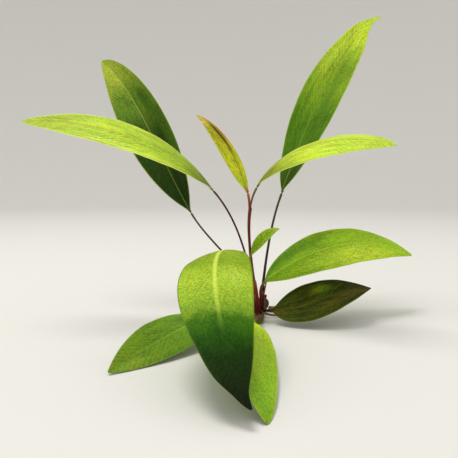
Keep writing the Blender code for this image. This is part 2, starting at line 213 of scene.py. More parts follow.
LOOKS = {
    "back_left": Look(
        "leaf_deep",
        # Darker from the base to past a third of its length: partly the blade's own deep green and partly
        # painted shadow of the left blade lying over it.
        (srgb(34, 54, 15), srgb(41, 69, 16), srgb(98, 132, 34), srgb(156, 176, 56)),
        (srgb(118, 140, 56), srgb(172, 184, 88)), srgb(146, 166, 76), OLIVE_STALK,
        (
            Patch(srgb(56, 92, 18), 0.56, -0.5, 0.16, 0.3, 0.7),
            Patch(srgb(72, 108, 24), 0.38, -0.85, 0.24, 0.35, 0.8),
            Patch(srgb(176, 190, 64), 0.88, 0.1, 0.2, 0.7, 0.6),
        ),
        streaks=0.4, specks=0.9, matte=0.8, places=(0, 0.36, 0.62, 0.92), veins=0.2,
    ),
    "left": Look(
        "leaf_bright",
        (srgb(92, 114, 26), srgb(158, 190, 46), srgb(184, 214, 54), srgb(170, 194, 50)),
        (srgb(150, 140, 60), srgb(138, 128, 50)), srgb(234, 242, 150), RED_STALK,
        (Patch(srgb(212, 238, 84), 0.5, 0.8, 0.35, 0.4, 0.7),),
        streaks=0.85, specks=0.8, places=(0, 0.26, 0.6, 0.9), mottle=0.4, grain=0.45,
    ),
    "young": Look(
        "leaf_young",
        (srgb(196, 212, 40), srgb(204, 214, 48), srgb(200, 202, 54), srgb(240, 214, 140)),
        (srgb(160, 146, 40), srgb(110, 80, 24)), srgb(232, 206, 116), ORANGE_STALK,
        # The dark brown patch is painted shadow in the fold between the blade and its rolled right margin.
        (Patch(srgb(84, 62, 20), 0.6, -0.25, 0.3, 0.4), Patch(srgb(218, 132, 80), 0.68, -0.95, 0.32, 0.5)),
        streaks=0.7, specks=0.8, places=(0, 0.33, 0.76, 0.95), grain=0.8,
    ),
    "right": Look(
        "leaf_bright",
        (srgb(116, 122, 38), srgb(186, 210, 52), srgb(190, 220, 54), srgb(178, 206, 54)),
        (srgb(150, 148, 42), srgb(150, 160, 50)), srgb(226, 232, 136), GOLD_STALK,
        streaks=0.75, specks=0.6, places=(0, 0.36, 0.6, 1), mottle=0.3, grain=0.45,
    ),
    "back_right": Look(
        "leaf_mid",
        (srgb(50, 76, 12), srgb(78, 124, 16), srgb(128, 164, 28), srgb(190, 214, 56)),
        (srgb(130, 156, 50), srgb(104, 112, 30)), srgb(186, 206, 100), OLIVE_STALK,
        (
            Patch(srgb(182, 206, 58), 0.72, 0.55, 0.18, 0.5, 0.6),
            Patch(srgb(88, 130, 22), 0.58, -0.4, 0.2, 0.5, 0.6),
        ),
        streaks=0.55, specks=1.0, matte=0.8, places=(0, 0.33, 0.62, 0.9), mottle=0.35, veins=-0.28,
        grain=0.7,
    ),
    "newest": Look(
        "leaf_fresh",
        (srgb(112, 148, 12), srgb(120, 158, 14), srgb(128, 166, 16), srgb(190, 200, 80)),
        (srgb(104, 138, 20), srgb(104, 138, 20)), srgb(172, 196, 60), GREEN_STALK,
    ),
    "mid_right": Look(
        "leaf_fresh",
        (srgb(116, 158, 22), srgb(130, 172, 26), srgb(150, 188, 36), srgb(156, 196, 38)),
        (srgb(168, 198, 62), srgb(176, 204, 66)), srgb(156, 190, 56), GREEN_STALK,
        (
            Patch(srgb(74, 124, 12), 0.16, 0.7, 0.34, 0.7, 0.7),
            Patch(srgb(188, 214, 58), 0.55, -0.6, 0.45, 0.6),
            Patch(srgb(140, 182, 32), 0.14, -0.6, 0.14, 0.5, 0.6),
        ),
        streaks=0.3, specks=0.8, matte=0.75, mottle=0.4, grain=0.8,
    ),
    # Partly the blade's own dark green and partly painted shadow: the low right blade lies under the middle
    # right blade, and that blade's shadow is painted into these dark colours.
    "low_right": Look(
        "leaf_shade",
        (srgb(78, 87, 22), srgb(62, 74, 18), srgb(60, 68, 18), srgb(44, 49, 16)),
        (srgb(96, 88, 30), srgb(96, 66, 28)), srgb(84, 90, 32), DARK_STALK,
        (Patch(srgb(98, 128, 30), 0.53, 0.5, 0.16, 0.4), Patch(srgb(88, 82, 28), 0.6, -0.5, 0.3, 0.4, 0.6)),
        streaks=1.0, specks=0.9, matte=0.95, mottle=1.6,
    ),
    "arched": Look(
        "leaf_fresh",
        # Painted light and shade: the arched blade's colours are lightest where it rises under the light from
        # above and darken to near black where it bends down and faces away from it.
        (
            srgb(122, 150, 32), srgb(136, 166, 38), srgb(162, 192, 54), srgb(152, 184, 52),
            srgb(124, 160, 44), srgb(60, 106, 17), srgb(37, 79, 13), srgb(27, 52, 13), srgb(22, 30, 14),
        ),
        (srgb(218, 230, 100), srgb(222, 238, 100)), srgb(84, 118, 32), GREEN_STALK,
        (
            Patch(srgb(130, 154, 36), 0.2, -0.6, 0.14, 0.6, 0.7),
            Patch(srgb(180, 206, 72), 0.41, 0.55, 0.1, 0.45, 0.7),
        ),
        rib_end=0.74, rib_width=1.5, streaks=0.15, specks=0.3, matte=0.95, mottle=0.25,
        places=(0, 0.3, 0.44, 0.52, 0.595, 0.67, 0.73, 0.8, 1), grain=0.8,
    ),
    "low_front": Look(
        "leaf_fresh",
        (srgb(182, 206, 30), srgb(162, 200, 26), srgb(144, 190, 22), srgb(122, 168, 19)),
        (srgb(164, 194, 60), srgb(150, 184, 50)), srgb(176, 204, 80), GREEN_STALK,
        (Patch(srgb(186, 212, 46), 0.5, 0.35, 0.4, 0.35, 0.5),), grain=0.8,
    ),
    "low_left": Look(
        "leaf_mid",
        (srgb(112, 148, 16), srgb(106, 148, 16), srgb(100, 140, 16), srgb(112, 142, 25)),
        (srgb(160, 184, 72), srgb(130, 156, 52)), srgb(128, 152, 52), GREEN_STALK,
        (
            Patch(srgb(132, 166, 44), 0.88, 0.5, 0.14, 0.6, 0.7),
            Patch(srgb(80, 116, 18), 0.3, -0.4, 0.22, 0.5, 0.8),
        ),
        streaks=0.45, specks=0.8, veins=-0.24, grain=0.8,
    ),
}

# Patterns on a blade: spots to a millimetre along and across it. Only the streaks' second number
# counts spots to the half width.
STREAK_RATES = (0.03, 9.0)
WANDER_RATES = (0.07, 0.09)
VEINLET_RATES = (1.25, 0.22)
PATCH_RATES = (0.05, 0.09)
MOTTLE_RATES = (1 / 6, 0.2)
GRAIN_RATES = (1.0, 1 / 0.7)
CELL_RATES = (1.0, 1.25)
SEED_STEP = 1.37
VEIN_WANDER = 5.0
VEIN_SHARPNESS = 12.0
NOISE_MIDDLE = 0.5
CELL_MIDDLE = 0.45

# How strongly each pattern lightens and darkens a blade, and the darkest share of its colour left
STREAK_SHADE = 2.0
PATCH_SHADE = 0.5
VEINLET_SHADE = 1.6
CELL_SHADE = 0.6
CELL_EDGE_SHADE = -0.45
DARKEST = 0.25

# How high each pattern stands on a blade, as a share of its bump
STREAK_HEIGHT = 0.4
VEINLET_HEIGHT = 0.5
CELL_EDGE_HEIGHT = -0.5
VEIN_HEIGHT = -0.4

# Tints on a blade: how its colours wander, how ragged its patches are, what mottling adds to red,
# green and blue, and what is left of them in a dry streak
COLOUR_WANDER = 0.15
PATCH_RAGGED = 1.2
PATCH_FADE = (1.1, 0.2)
GREENER = (-0.26, -0.04, 0.0)
BROWNER = (0.30, 0.04, -0.1)
MOTTLE_RANGE = (0.3, 0.7)
DRY_RANGE = (0.52, 0.7)
DRY_TINT = (0.9, 0.7, 0.6)

# Specks, midrib, margin, underside and joint of a blade
SPECK_BROWN = srgb(62, 56, 16)
SPECK_RANGE = (0.72, 0.8)
SPECK_SPREAD = 0.08
RIB_SHARE = 0.7
RIB_CORE = 0.2
RIB_FADE = 0.35
RIB_CHANGE = (0.3, 0.6)
EDGE_SHARE = 0.7
EDGE_RANGE = (0.9, 0.2)
EDGE_FADE = 0.2
UNDERSIDE_SHARE = 0.4
UNDERSIDE_COLOUR = srgb(124, 150, 60)
UNDERSIDE_SHADE = 0.9
UNDERSIDE_VEINS = 0.7
UNDERSIDE_VEINLETS = 1.5
JOINT_RANGE = (5.0, 0.0)
JOINT_HALF_RANGE = (2.2, 0.6)

# Stalks, papery scales and creeping stem. RED_GLOW: how far red, green and blue light spread inside.
RED_GLOW = (1.0, 0.4, 0.2)
DARKEST_STALK = 0.3
FLECK_BROWN = srgb(128, 70, 40)
FLECK_SHARE = 0.5
SCAR_BROWN = srgb(122, 88, 44)
SCAR_SHARE = 0.7

# Creeping stem and roots: their large forms as in the part, with lumps, slanting scars, a rounded cut
# edge and uneven roots added
STEM_FRONT = -11.4
STEM_LENGTH = 45.4
STEM_CROWDING = 1.15
STEM_TIP_RADIUS = 2.7
STEM_GAIN = 2.0
STEM_GAIN_LENGTH = 9.0
STEM_DOME = 4.0
STEM_DOME_START = 0.15
STEM_SUNK = 0.4
STEM_CUT_START = 0.985
STEM_CUT_ROUNDING = 0.25
SCAR_BULGE = 0.18
SCAR_LENGTH = 3.8
SCAR_WIDTH = 0.16
SCAR_SKEW = 0.35
STEM_BEND = 0.006
STEM_BEND_START = 5.0
Lump = namedtuple("Lump", "height around along")
STEM_LUMPS = (Lump(0.05, 3, 0.9), Lump(0.04, 5, -1.7))
Root = namedtuple("Root", "along side heading turn length")
ROOTS = (
    Root(along=24, side=-1, heading=170, turn=-40, length=58),
    Root(along=16, side=-1, heading=180, turn=25, length=40),
    Root(along=6, side=-1, heading=185, turn=15, length=42),
    Root(along=28, side=1, heading=20, turn=40, length=52),
    Root(along=19, side=1, heading=10, turn=-20, length=46),
    Root(along=11, side=1, heading=-5, turn=30, length=36),
    Root(along=30, side=-1, heading=150, turn=-65, length=50),
    Root(along=31, side=1, heading=40, turn=60, length=44),
)
ROOT_RADIUS = 0.8
ROOT_TIP_RADIUS = 0.4
ROOT_START_HEIGHT = 2.4
ROOT_SETTLE = 5.0
ROOT_WIGGLE = 14
ROOT_WAVES = 9
ROOT_UNEVEN = 0.07
ROOT_RINGS = 31
ROOT_TIP_LENGTH = 0.03
STEM_GAP = 0.3

# Rootlets along each root. spread: how far one may lie from its even place. angles: from the root.
ROOTLETS_EACH = 7
ROOTLETS_START = 0.25
ROOTLETS_SPAN = 0.7
ROOTLET_SPREAD = 0.8
ROOTLET_ANGLES = (25, 60)
ROOTLET_CURL = 50
ROOTLET_LENGTHS = (3, 8)
ROOTLET_RADIUS = 0.16
ROOTLET_SHADES = (0.6, 1)

# Papery scales around the stalks' bases. facing turns from the stalk's left towards its face.
Scale = namedtuple("Scale", "leaf facing height wrap flare")
SCALES = (
    Scale("right", 200, 20, 150, 0.5),
    Scale("young", 20, 17, 140, 0.7),
    Scale("newest", 190, 14, 170, 0.8),
    Scale("left", 150, 15, 150, 0.9),
    Scale("arched", 60, 13, 150, 1.0),
    Scale("mid_right", 300, 11, 160, 0.9),
    Scale("back_right", 240, 15, 150, 0.9),
    Scale("back_left", 230, 12, 150, 1.1),
)
SCALE_THICK = 0.14
SCALE_TUCK = 1.6
SCALE_LOOSENESS = 1.35
SCALE_GAP = 0.3
SCALE_OPENING = 0.25
SCALE_RAGGED = 0.06
SCALE_CREASE = 0.06

# Dry ends of old stalks on the creeping stem
Stub = namedtuple("Stub", "along side heading rise length radius")
STUBS = (
    Stub(along=15, side=-0.5, heading=150, rise=48, length=6, radius=1.1),
    Stub(along=20, side=0.5, heading=40, rise=42, length=5, radius=1.2),
    Stub(along=25.5, side=-0.4, heading=140, rise=38, length=3.6, radius=1.2),
    Stub(along=30, side=0.4, heading=50, rise=34, length=3, radius=1.3),
)
STUB_DEPTH = 1.5
STUB_TURN = 10
STUB_LIFT = 8
STUB_FLARE = 0.3
STUB_RIDGES = 0.08
STUB_FIBRES = 0.05
STUB_RAGGED = 0.35


class Nodes:
    """Short calls for one material's shader nodes."""

    def __init__(self, name):
        self.material = bpy.data.materials.new(name)
        self.material.use_nodes = True
        self.tree = self.material.node_tree
        self.shader = self.tree.nodes["Principled BSDF"]

    def put(self, socket, value):
        if isinstance(value, bpy.types.NodeSocket):
            self.tree.links.new(value, socket)
        elif hasattr(value, "__len__") and len(value) == 3 and len(socket.default_value) == 4:
            socket.default_value = (*value, 1)
        else:
            socket.default_value = value

    def node(self, kind, **settings):
        made = self.tree.nodes.new("ShaderNode" + kind)
        for key, value in settings.items():
            setattr(made, key, value)
        return made

    def math(self, operation, *values):
        made = self.node("Math", operation=operation)
        for socket, value in zip(made.inputs, values):
            self.put(socket, value)
        return made.outputs[0]

    def around(self, value, middle, gain, base=0.0):
        """base plus gain times how far value is from middle."""
        return self.math("MULTIPLY_ADD", self.math("SUBTRACT", value, middle), gain, base)

    def ranged(self, value, low, high):
        """Goes from low to high while value goes from 0 to 1."""
        return self.math("MULTIPLY_ADD", value, high - low, low)

    def attribute(self, name):
        """The three parts of a point attribute."""
        read = self.node("Attribute", attribute_name=name)
        parts = self.node("SeparateXYZ")
        self.put(parts.inputs[0], read.outputs["Vector"])
        return parts.outputs

    def vector(self, x, y, z=0.0):
        made = self.node("CombineXYZ")
        for socket, value in zip(made.inputs, (x, y, z)):
            self.put(socket, value)
        return made.outputs[0]

    def place(self, values, rates, *rest):
        """Point of a pattern: each value times its rate, then the rest as it is."""
        scaled = [self.math("MULTIPLY", value, rate) for value, rate in zip(values, rates)]
        return self.vector(*scaled, *rest)

    def noise(self, vector, scale=1.0, detail=2.0):
        made = self.node("TexNoise")
        self.put(made.inputs["Vector"], vector)
        self.put(made.inputs["Scale"], scale)
        self.put(made.inputs["Detail"], detail)
        return made.outputs[0]

    def cells(self, vector):
        """Random shade of each cell and distance from its middle."""
        made = self.node("TexVoronoi")
        self.put(made.inputs["Vector"], vector)
        self.put(made.inputs["Scale"], 1.0)
        return made.outputs["Color"], made.outputs["Distance"]

    def smooth(self, value, low, high):
        """Smooth step from 0 at low to 1 at high."""
        made = self.node("MapRange", interpolation_type="SMOOTHSTEP")
        self.put(made.inputs["Value"], value)
        self.put(made.inputs["From Min"], low)
        self.put(made.inputs["From Max"], high)
        return made.outputs[0]

    def mix(self, share, first, second):
        """Blend of two colours, which the node takes in at its inputs 6 and 7 and gives at output 2."""
        made = self.node("Mix", data_type="RGBA")
        self.put(made.inputs[0], share)
        self.put(made.inputs[6], first)
        self.put(made.inputs[7], second)
        return made.outputs[2]

    def scale(self, colour, factor):
        made = self.node("VectorMath", operation="SCALE")
        self.put(made.inputs[0], colour)
        self.put(made.inputs["Scale"], factor)
        return made.outputs[0]

    def times(self, colour, factors):
        made = self.node("VectorMath", operation="MULTIPLY")
        self.put(made.inputs[0], colour)
        made.inputs[1].default_value = factors
        return made.outputs[0]

    def ramp(self, value, colours, places=None):
        made = self.node("ValToRGB")
        stops = made.color_ramp.elements
        places = places or [n / (len(colours) - 1) for n in range(len(colours))]
        while len(stops) < len(colours):
            stops.new(0.5)
        for stop, place, colour in zip(stops, places, colours):
            stop.position = place
            stop.color = (*colour, 1)
        made.color_ramp.interpolation = "EASE"
        self.put(made.inputs[0], value)
        return made.outputs[0]

    def bump(self, height, distance, strength):
        made = self.node("Bump")
        self.put(made.inputs["Height"], height)
        self.put(made.inputs["Distance"], distance)
        self.put(made.inputs["Strength"], strength)
        self.put(self.shader.inputs["Normal"], made.outputs[0])

    def finish(self, colour, roughness, specular, glow=0.0, glow_colour=(1.0, 1.0, 0.3), depth=0.0008):
        """Sets the shader's colour, roughness and gloss, and how light spreads inside."""
        self.put(self.shader.inputs["Base Color"], colour)
        self.put(self.shader.inputs["Roughness"], roughness)
        self.shader.inputs["Specular IOR Level"].default_value = specular
        self.shader.inputs["Subsurface Weight"].default_value = glow
        self.shader.inputs["Subsurface Radius"].default_value = glow_colour
        self.shader.inputs["Subsurface Scale"].default_value = depth
        return self.material


def between(pair, t):
    return pair[0] + (pair[1] - pair[0]) * t


def through(start, middle, end, t):
    """Value at t of the parabola through start at 0, middle at a half and end at 1."""
    return start * (1 - t) * (1 - 2 * t) + 4 * middle * t * (1 - t) + end * t * (2 * t - 1)


def direction(heading, rise):
    heading, rise = np.radians(heading), np.radians(rise) + 0 * heading
    return np.stack([np.cos(rise) * np.cos(heading), np.cos(rise) * np.sin(heading), np.sin(rise)], -1)


def bell(value, width):
    return np.exp(-((value / width) ** 2))


class Line:
    """Centre line in millimetres with its left and face directions, read at any t."""

    def __init__(self, start, length, heading, rise):
        self.t = np.linspace(0, 1, LINE_STEPS + 1)
        self.forward = direction(heading(self.t), rise(self.t))
        middles = self.t[1:] - 0.5 / LINE_STEPS
        steps = np.cumsum(direction(heading(middles), rise(middles)), axis=0) * length / LINE_STEPS
        self.points = np.concatenate([np.zeros((1, 3)), steps]) + start
        self.left = direction(heading(self.t) + 90, 0 * self.t)
        self.face = np.cross(self.forward, self.left)

    def at(self, t):
        """Point, left and face directions at each t."""
        return [
            np.stack([np.interp(t, self.t, table[:, axis]) for axis in range(3)], -1)
            for table in (self.points, self.left, self.face)
        ]


def stalk_line(leaf):
    return Line(
        np.array(leaf.root, float),
        leaf.stalk_length,
        lambda t: leaf.heading + leaf.turn[0] * t,
        lambda t: through(*leaf.stalk_rise, t**leaf.late_bend),
    )


def blade_line(leaf):
    heading = leaf.heading + leaf.turn[0]
    return Line(
        stalk_line(leaf).points[-1],
        leaf.length,
        lambda t: heading + leaf.turn[1] * t,
        lambda t: through(leaf.stalk_rise[2], *leaf.rise, t),
    )


def half_width(leaf, t):
    grow = (t / leaf.widest) ** (leaf.widest * leaf.fullness) * (1 + leaf.neck) * t / (t + leaf.neck)
    shrink = ((1 - t) / (1 - leaf.widest)) ** ((1 - leaf.widest) * leaf.fullness)
    ends = leaf.stalk_radius * (1 - t) ** END_DECAY + TIP_HALF_WIDTH * t**END_DECAY
    drawn = 1 - leaf.tip_drawn * bell(t - TIP_DRAWN_AT, TIP_DRAWN_LENGTH)
    return leaf.width / 2 * grow * shrink * drawn + ends


def tube_mesh(name, cells, *shapes):
    """Closed tubes in one mesh.

    Each shape(t, angle, inner) gives its points and a table of named point values. inner is 1, and 0
    on the first and last rings, which are drawn in to the middle to close the ends.
    """
    grid = bmesh.new()
    grid.loops.layers.uv.verify()
    for _ in shapes:
        bmesh.ops.create_grid(grid, x_segments=cells[0], y_segments=cells[1], size=1, calc_uvs=True)
    mesh = bpy.data.meshes.new(name)
    grid.to_mesh(mesh)
    grid.free()
    flat = np.empty(len(mesh.vertices) * 3)
    mesh.vertices.foreach_get("co", flat)
    one = flat.reshape(len(shapes), -1, 3)[0]
    t = (one[:, 0] + 1) / 2
    inner = np.where((t < 0.5 / cells[0]) | (t > 1 - 0.5 / cells[0]), 0.0, 1.0)
    made = [shape(t, np.pi * one[:, 1], inner) for shape in shapes]
    points = np.concatenate([points for points, _ in made])
    mesh.vertices.foreach_set("co", np.ascontiguousarray(points * MM, np.float32).ravel())
    for key in made[0][1]:
        values = np.concatenate([np.stack(np.broadcast_arrays(*table[key]), -1) for _, table in made])
        layer = mesh.attributes.new(key, "FLOAT_VECTOR", "POINT")
        layer.data.foreach_set("vector", values.astype(np.float32).ravel())
    share_uv_map(mesh, len(shapes))
    skin = bmesh.new()
    skin.from_mesh(mesh)
    bmesh.ops.remove_doubles(skin, verts=skin.verts, dist=WELD)
    bmesh.ops.recalc_face_normals(skin, faces=skin.faces)
    skin.to_mesh(mesh)
    skin.free()
    return mesh


def tube_place(t, angle):
    """Point values of a tube: how far along it, and how far across and up its section."""
    return {"tube_ta": (t, np.cos(angle), np.sin(angle))}


def round_section(centre, left, face, angle, radius):
    out = left * np.cos(angle)[:, None] + face * np.sin(angle)[:, None]
    return centre + out * radius[:, None]


def share_uv_map(mesh, count):
    """Gives each of the mesh's equal tubes its own strip of the UV map."""
    uv = np.empty(len(mesh.loops) * 2, np.float32)
    mesh.uv_layers[0].data.foreach_get("uv", uv)
    strips = uv.reshape(count, -1, 2)
    strips[:, :, 0] = (strips[:, :, 0] + np.arange(count)[:, None]) / count
    mesh.uv_layers[0].data.foreach_set("uv", uv)


def add_piece(name, mesh, material, slot, *nodes):
    """Object of the plant that rides on its body and stands for the CAD nodes named."""
    piece = bpy.data.objects.new(name, mesh)
    bpy.context.scene.collection.objects.link(piece)
    mesh.materials.append(material)
    mesh.shade_smooth()
    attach(piece, BODY)
    if nodes:
        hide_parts(*nodes)


def vein_reach(x, y):
    """Distance along the rib at which the side vein through a point leaves it."""
    return x - VEIN_SLANT * abs(y) - VEIN_BEND * y**2


def add_blade(name, leaf, look):
    """Blade with a groove over its midrib, a rib below it, side veins and a wavy, rounded margin."""
    line = blade_line(leaf)
    small = leaf.width / WAVY_WIDTH

    def shape(even, angle, inner):
        t = np.clip(even - END_CROWDING * np.sin(2 * np.pi * even), 0, 1)
        s = np.cos(angle)
        s = s * abs(s) ** (RIB_CROWDING - 1) * inner
        above = np.where(np.sin(angle) > 0, 1.0, 0.0)
        centre, left, face = line.at(t)
        centre = centre - line.forward[0] * (JOINT_OVERLAP * (even < 1e-6))[:, None]
        roll = np.radians(between(leaf.roll, t))[:, None]
        side = left * np.cos(roll) + face * np.sin(roll)
        up = face * np.cos(roll) - left * np.sin(roll)
        swing = leaf.tip_bend * (bell(t - TIP_BEND_AT, TIP_BEND_LENGTH) - t**TIP_BEND_DECAY)
        centre = centre + side * swing[:, None]
        fold = np.radians(np.where(s > 0, leaf.fold[0], leaf.fold[1]))
        reach = half_width(leaf, t)
        x = t * leaf.length
        y = s * reach
        phase = SIDE_PHASE * np.sign(s) + leaf.length
        ends = np.sin(np.pi * t) ** RELIEF_FADE
        wave = np.sin(2 * np.pi * x / (WAVE_LENGTH * small) + phase)
        wave = wave + RIPPLE_SHARE * np.sin(RIPPLE_RATE * x / small - phase)
        lift = reach * (abs(s) * np.sin(fold) - leaf.camber * s**2)
        lift = lift + WAVE_HEIGHT * small * wave * abs(s) ** 3 * ends
        lift = lift + VEIN_RELIEF * np.cos(2 * np.pi * vein_reach(x, y) / VEIN_SPACING) * (1 - s**4) * ends
        rib_thick = between((2 * leaf.stalk_radius, RIB_TIP_THICK), t**RIB_THINNING)
        rib_shape = bell(y, RIB_HALF_WIDTH * between((1, RIB_TIP_NARROWING), t)) * inner
        lamina = between((LAMINA_THICK, MARGIN_THICK), abs(s) ** 4)
        rounded = np.sqrt(1 - np.clip(abs(s), 0, 1) ** MARGIN_ROUNDING) * inner
        height = (rib_thick - lamina) / 2 * inner + (above - 0.5) * lamina * rounded
        height = height - (1 - above) * np.maximum(rib_thick - lamina, 0) * rib_shape
        height = height - above * GROOVE_DEPTH * rib_shape * ends * (1 - t)
        base = np.exp(-x / JOINT_LENGTH)
        round_y = np.cos(angle) * leaf.stalk_radius * inner
        round_z = np.sin(angle) * leaf.stalk_radius * inner
        across = between((y * np.cos(fold), round_y), base)
        height = between((lift + height, round_z), base)
        points = centre + side * across[:, None] + up * height[:, None]
        under = np.clip(0.5 - 2 * np.sin(angle), 0, 1)
        return points, {"blade_mm": (x, y, reach * (1 - abs(s))), "blade_ts": (t, s, under)}

    mesh = tube_mesh("leaf_" + name, BLADE_CELLS, shape)
    add_piece("leaf_" + name, mesh, blade_material(name, leaf, look), look.slot, "blade_" + name)


Patterns = namedtuple("Patterns", "streaks veinlets veins patches mottle grains cell from_middle")


def blade_patterns(n, leaf, x, y, s):
    """Patterns on a blade: streaks run with it, veinlets and veins from its midrib to its margin."""
    half = n.math("ABSOLUTE", y)
    seed = leaf.length * SEED_STEP
    streaks = n.noise(n.place((x, s), STREAK_RATES, seed), detail=3.0)
    wander = n.noise(n.place((x, y), WANDER_RATES, seed))
    bend = n.math("MULTIPLY", n.math("MULTIPLY", half, half), VEIN_BEND)
    reach = n.math("SUBTRACT", n.math("SUBTRACT", x, n.math("MULTIPLY", half, VEIN_SLANT)), bend)
    reach = n.math("MULTIPLY_ADD", wander, VEIN_WANDER, reach)
    side = n.math("ADD", n.math("SIGN", y), seed)
    veinlets = n.noise(n.place((reach, half), VEINLET_RATES, side), detail=3.0)
    turns = n.math("COSINE", n.math("MULTIPLY", reach, 2 * np.pi / VEIN_SPACING))
    veins = n.math("POWER", n.math("MULTIPLY_ADD", turns, 0.5, 0.5), VEIN_SHARPNESS)
    patches = n.noise(n.place((x, y), PATCH_RATES, seed + 3), detail=4.0)
    mottle = n.noise(n.place((reach, y), MOTTLE_RATES, seed + 5), detail=3.0)
    grains = n.noise(n.place((x, y), GRAIN_RATES, seed + 7))
    cell, from_middle = n.cells(n.place((x, y), CELL_RATES, seed))
    return Patterns(streaks, veinlets, veins, patches, mottle, grains, cell, from_middle)


def blade_tint(n, look, patterns, t, s):
    """Colours along a blade, with its patches, its green and brown mottling and its dry streaks."""
    place = n.around(patterns.patches, NOISE_MIDDLE, COLOUR_WANDER, t)
    colour = n.ramp(place, look.colours, look.places)
    ragged = n.around(patterns.patches, NOISE_MIDDLE, PATCH_RAGGED)
    for patch in look.patches:
        along = n.around(t, patch.t, 1 / patch.length)
        across = n.around(s, patch.s, 1 / patch.width)
        far = n.math("MULTIPLY_ADD", along, along, n.math("MULTIPLY", across, across))
        far = n.math("ADD", n.math("SQRT", far), ragged)
        share = n.math("MULTIPLY", n.smooth(far, *PATCH_FADE), patch.share)
        colour = n.mix(share, colour, patch.colour)
    green, brown = [
        n.times(colour, tuple(1 + change * look.mottle for change in changes))
        for changes in (GREENER, BROWNER)
    ]
    colour = n.mix(n.smooth(patterns.mottle, *MOTTLE_RANGE), green, brown)
    dry = n.math("MULTIPLY", n.smooth(patterns.streaks, *DRY_RANGE), look.streaks)
    return n.mix(dry, colour, n.times(colour, DRY_TINT))


def blade_shade(n, look, patterns):
    """How light or dark the patterns make a blade's tint."""
    shade = n.around(patterns.streaks, NOISE_MIDDLE, STREAK_SHADE * look.streaks, 1.0)
    shade = n.around(patterns.patches, NOISE_MIDDLE, PATCH_SHADE, shade)
    shade = n.around(patterns.veinlets, NOISE_MIDDLE, VEINLET_SHADE * look.streaks, shade)
    shade = n.around(patterns.grains, NOISE_MIDDLE, look.grain, shade)
    shade = n.around(patterns.cell, NOISE_MIDDLE, CELL_SHADE * look.grain, shade)
    shade = n.around(patterns.from_middle, CELL_MIDDLE, CELL_EDGE_SHADE * look.grain, shade)
    return n.math("MAXIMUM", n.math("MULTIPLY_ADD", patterns.veins, look.veins, shade), DARKEST)


def blade_material(name, leaf, look):
    n = Nodes("leaf_" + name)
    x, y, edge = n.attribute("blade_mm")
    t, s, under = n.attribute("blade_ts")
    half = n.math("ABSOLUTE", y)
    patterns = blade_patterns(n, leaf, x, y, s)
    colour = n.scale(blade_tint(n, look, patterns, t, s), blade_shade(n, look, patterns))

    low, high = [value - SPECK_SPREAD * look.specks for value in SPECK_RANGE]
    specks = n.math("MULTIPLY", n.smooth(patterns.grains, low, high), look.specks)
    colour = n.mix(specks, colour, SPECK_BROWN)
    rib = n.smooth(half, look.rib_width, look.rib_width * RIB_CORE)
    rib = n.math("MULTIPLY", rib, n.smooth(t, look.rib_end, look.rib_end - RIB_FADE))
    rib_colour = n.mix(n.smooth(t, *RIB_CHANGE), *look.rib)
    colour = n.mix(n.math("MULTIPLY", rib, RIB_SHARE), colour, rib_colour)
    rim = n.smooth(t, look.rib_end + EDGE_FADE, look.rib_end - EDGE_FADE)
    rim = n.math("MULTIPLY", n.smooth(edge, *EDGE_RANGE), rim)
    colour = n.mix(n.math("MULTIPLY", rim, EDGE_SHARE), colour, look.edge)
    below = n.around(patterns.veinlets, NOISE_MIDDLE, UNDERSIDE_VEINLETS, UNDERSIDE_SHADE)
    below = n.math("MULTIPLY_ADD", patterns.veins, UNDERSIDE_VEINS, below)
    below = n.scale(UNDERSIDE_COLOUR, below)
    colour = n.mix(n.math("MULTIPLY", under, UNDERSIDE_SHARE), colour, below)
    joint = n.math("MULTIPLY", n.smooth(x, *JOINT_RANGE), n.smooth(half, *JOINT_HALF_RANGE))
    colour = n.mix(joint, colour, look.stalk[-1])

    height = n.math("MULTIPLY", patterns.veinlets, VEINLET_HEIGHT)
    height = n.math("MULTIPLY_ADD", patterns.streaks, STREAK_HEIGHT, height)
    height = n.math("MULTIPLY_ADD", patterns.from_middle, CELL_EDGE_HEIGHT, height)
    height = n.math("MULTIPLY_ADD", patterns.veins, VEIN_HEIGHT, height)
    n.bump(height, distance=0.0002, strength=0.4)
    roughness = n.around(patterns.grains, NOISE_MIDDLE, gain=0.4, base=0.48 + 0.2 * look.matte)
    return n.finish(colour, roughness, specular=0.25 * (1.1 - look.matte), glow=0.25)


def add_stalk(name, leaf, look):
    """Stalk with a wide clasping base, a shallow channel on its face and a joint below the blade."""
    line = stalk_line(leaf)

    def shape(t, angle, inner):
        t = np.clip(t, 0, 1)
        centre, left, face = line.at(t)
        radius = leaf.stalk_radius * (1 + STALK_BASE_GAIN * (1 - t) ** 3 - STALK_TAPER * t)
        radius = radius * (1 + SWELLING * bell(t - SWELLING_AT, SWELLING_LENGTH))
        if leaf.sheath_top:
            lip = SHEATH_SWELL * (t / leaf.sheath_top) ** 2 * (1 - SHEATH_OPENING * np.sin(angle))
            radius = radius + np.where(t < leaf.sheath_top, lip, 0)
        from_face = np.arctan2(np.cos(angle), np.sin(angle))
        channel = 1 - CHANNEL_DEPTH * bell(from_face, CHANNEL_WIDTH) * (1 - t) ** CHANNEL_FADE
        radius = radius * channel * inner
        wide = 1 + STALK_CLASP * (1 - t) ** 4
        out = left * (np.cos(angle) * wide)[:, None] + face * np.sin(angle)[:, None]
        return centre + out * radius[:, None], tube_place(t, angle)

    mesh = tube_mesh("petiole_" + name, TUBE_CELLS, shape)
    slot = "stalk_olive" if look.stalk is OLIVE_STALK else "stalk_red"
    add_piece("petiole_" + name, mesh, stalk_material(name, leaf, look), slot, "stalk_" + name)


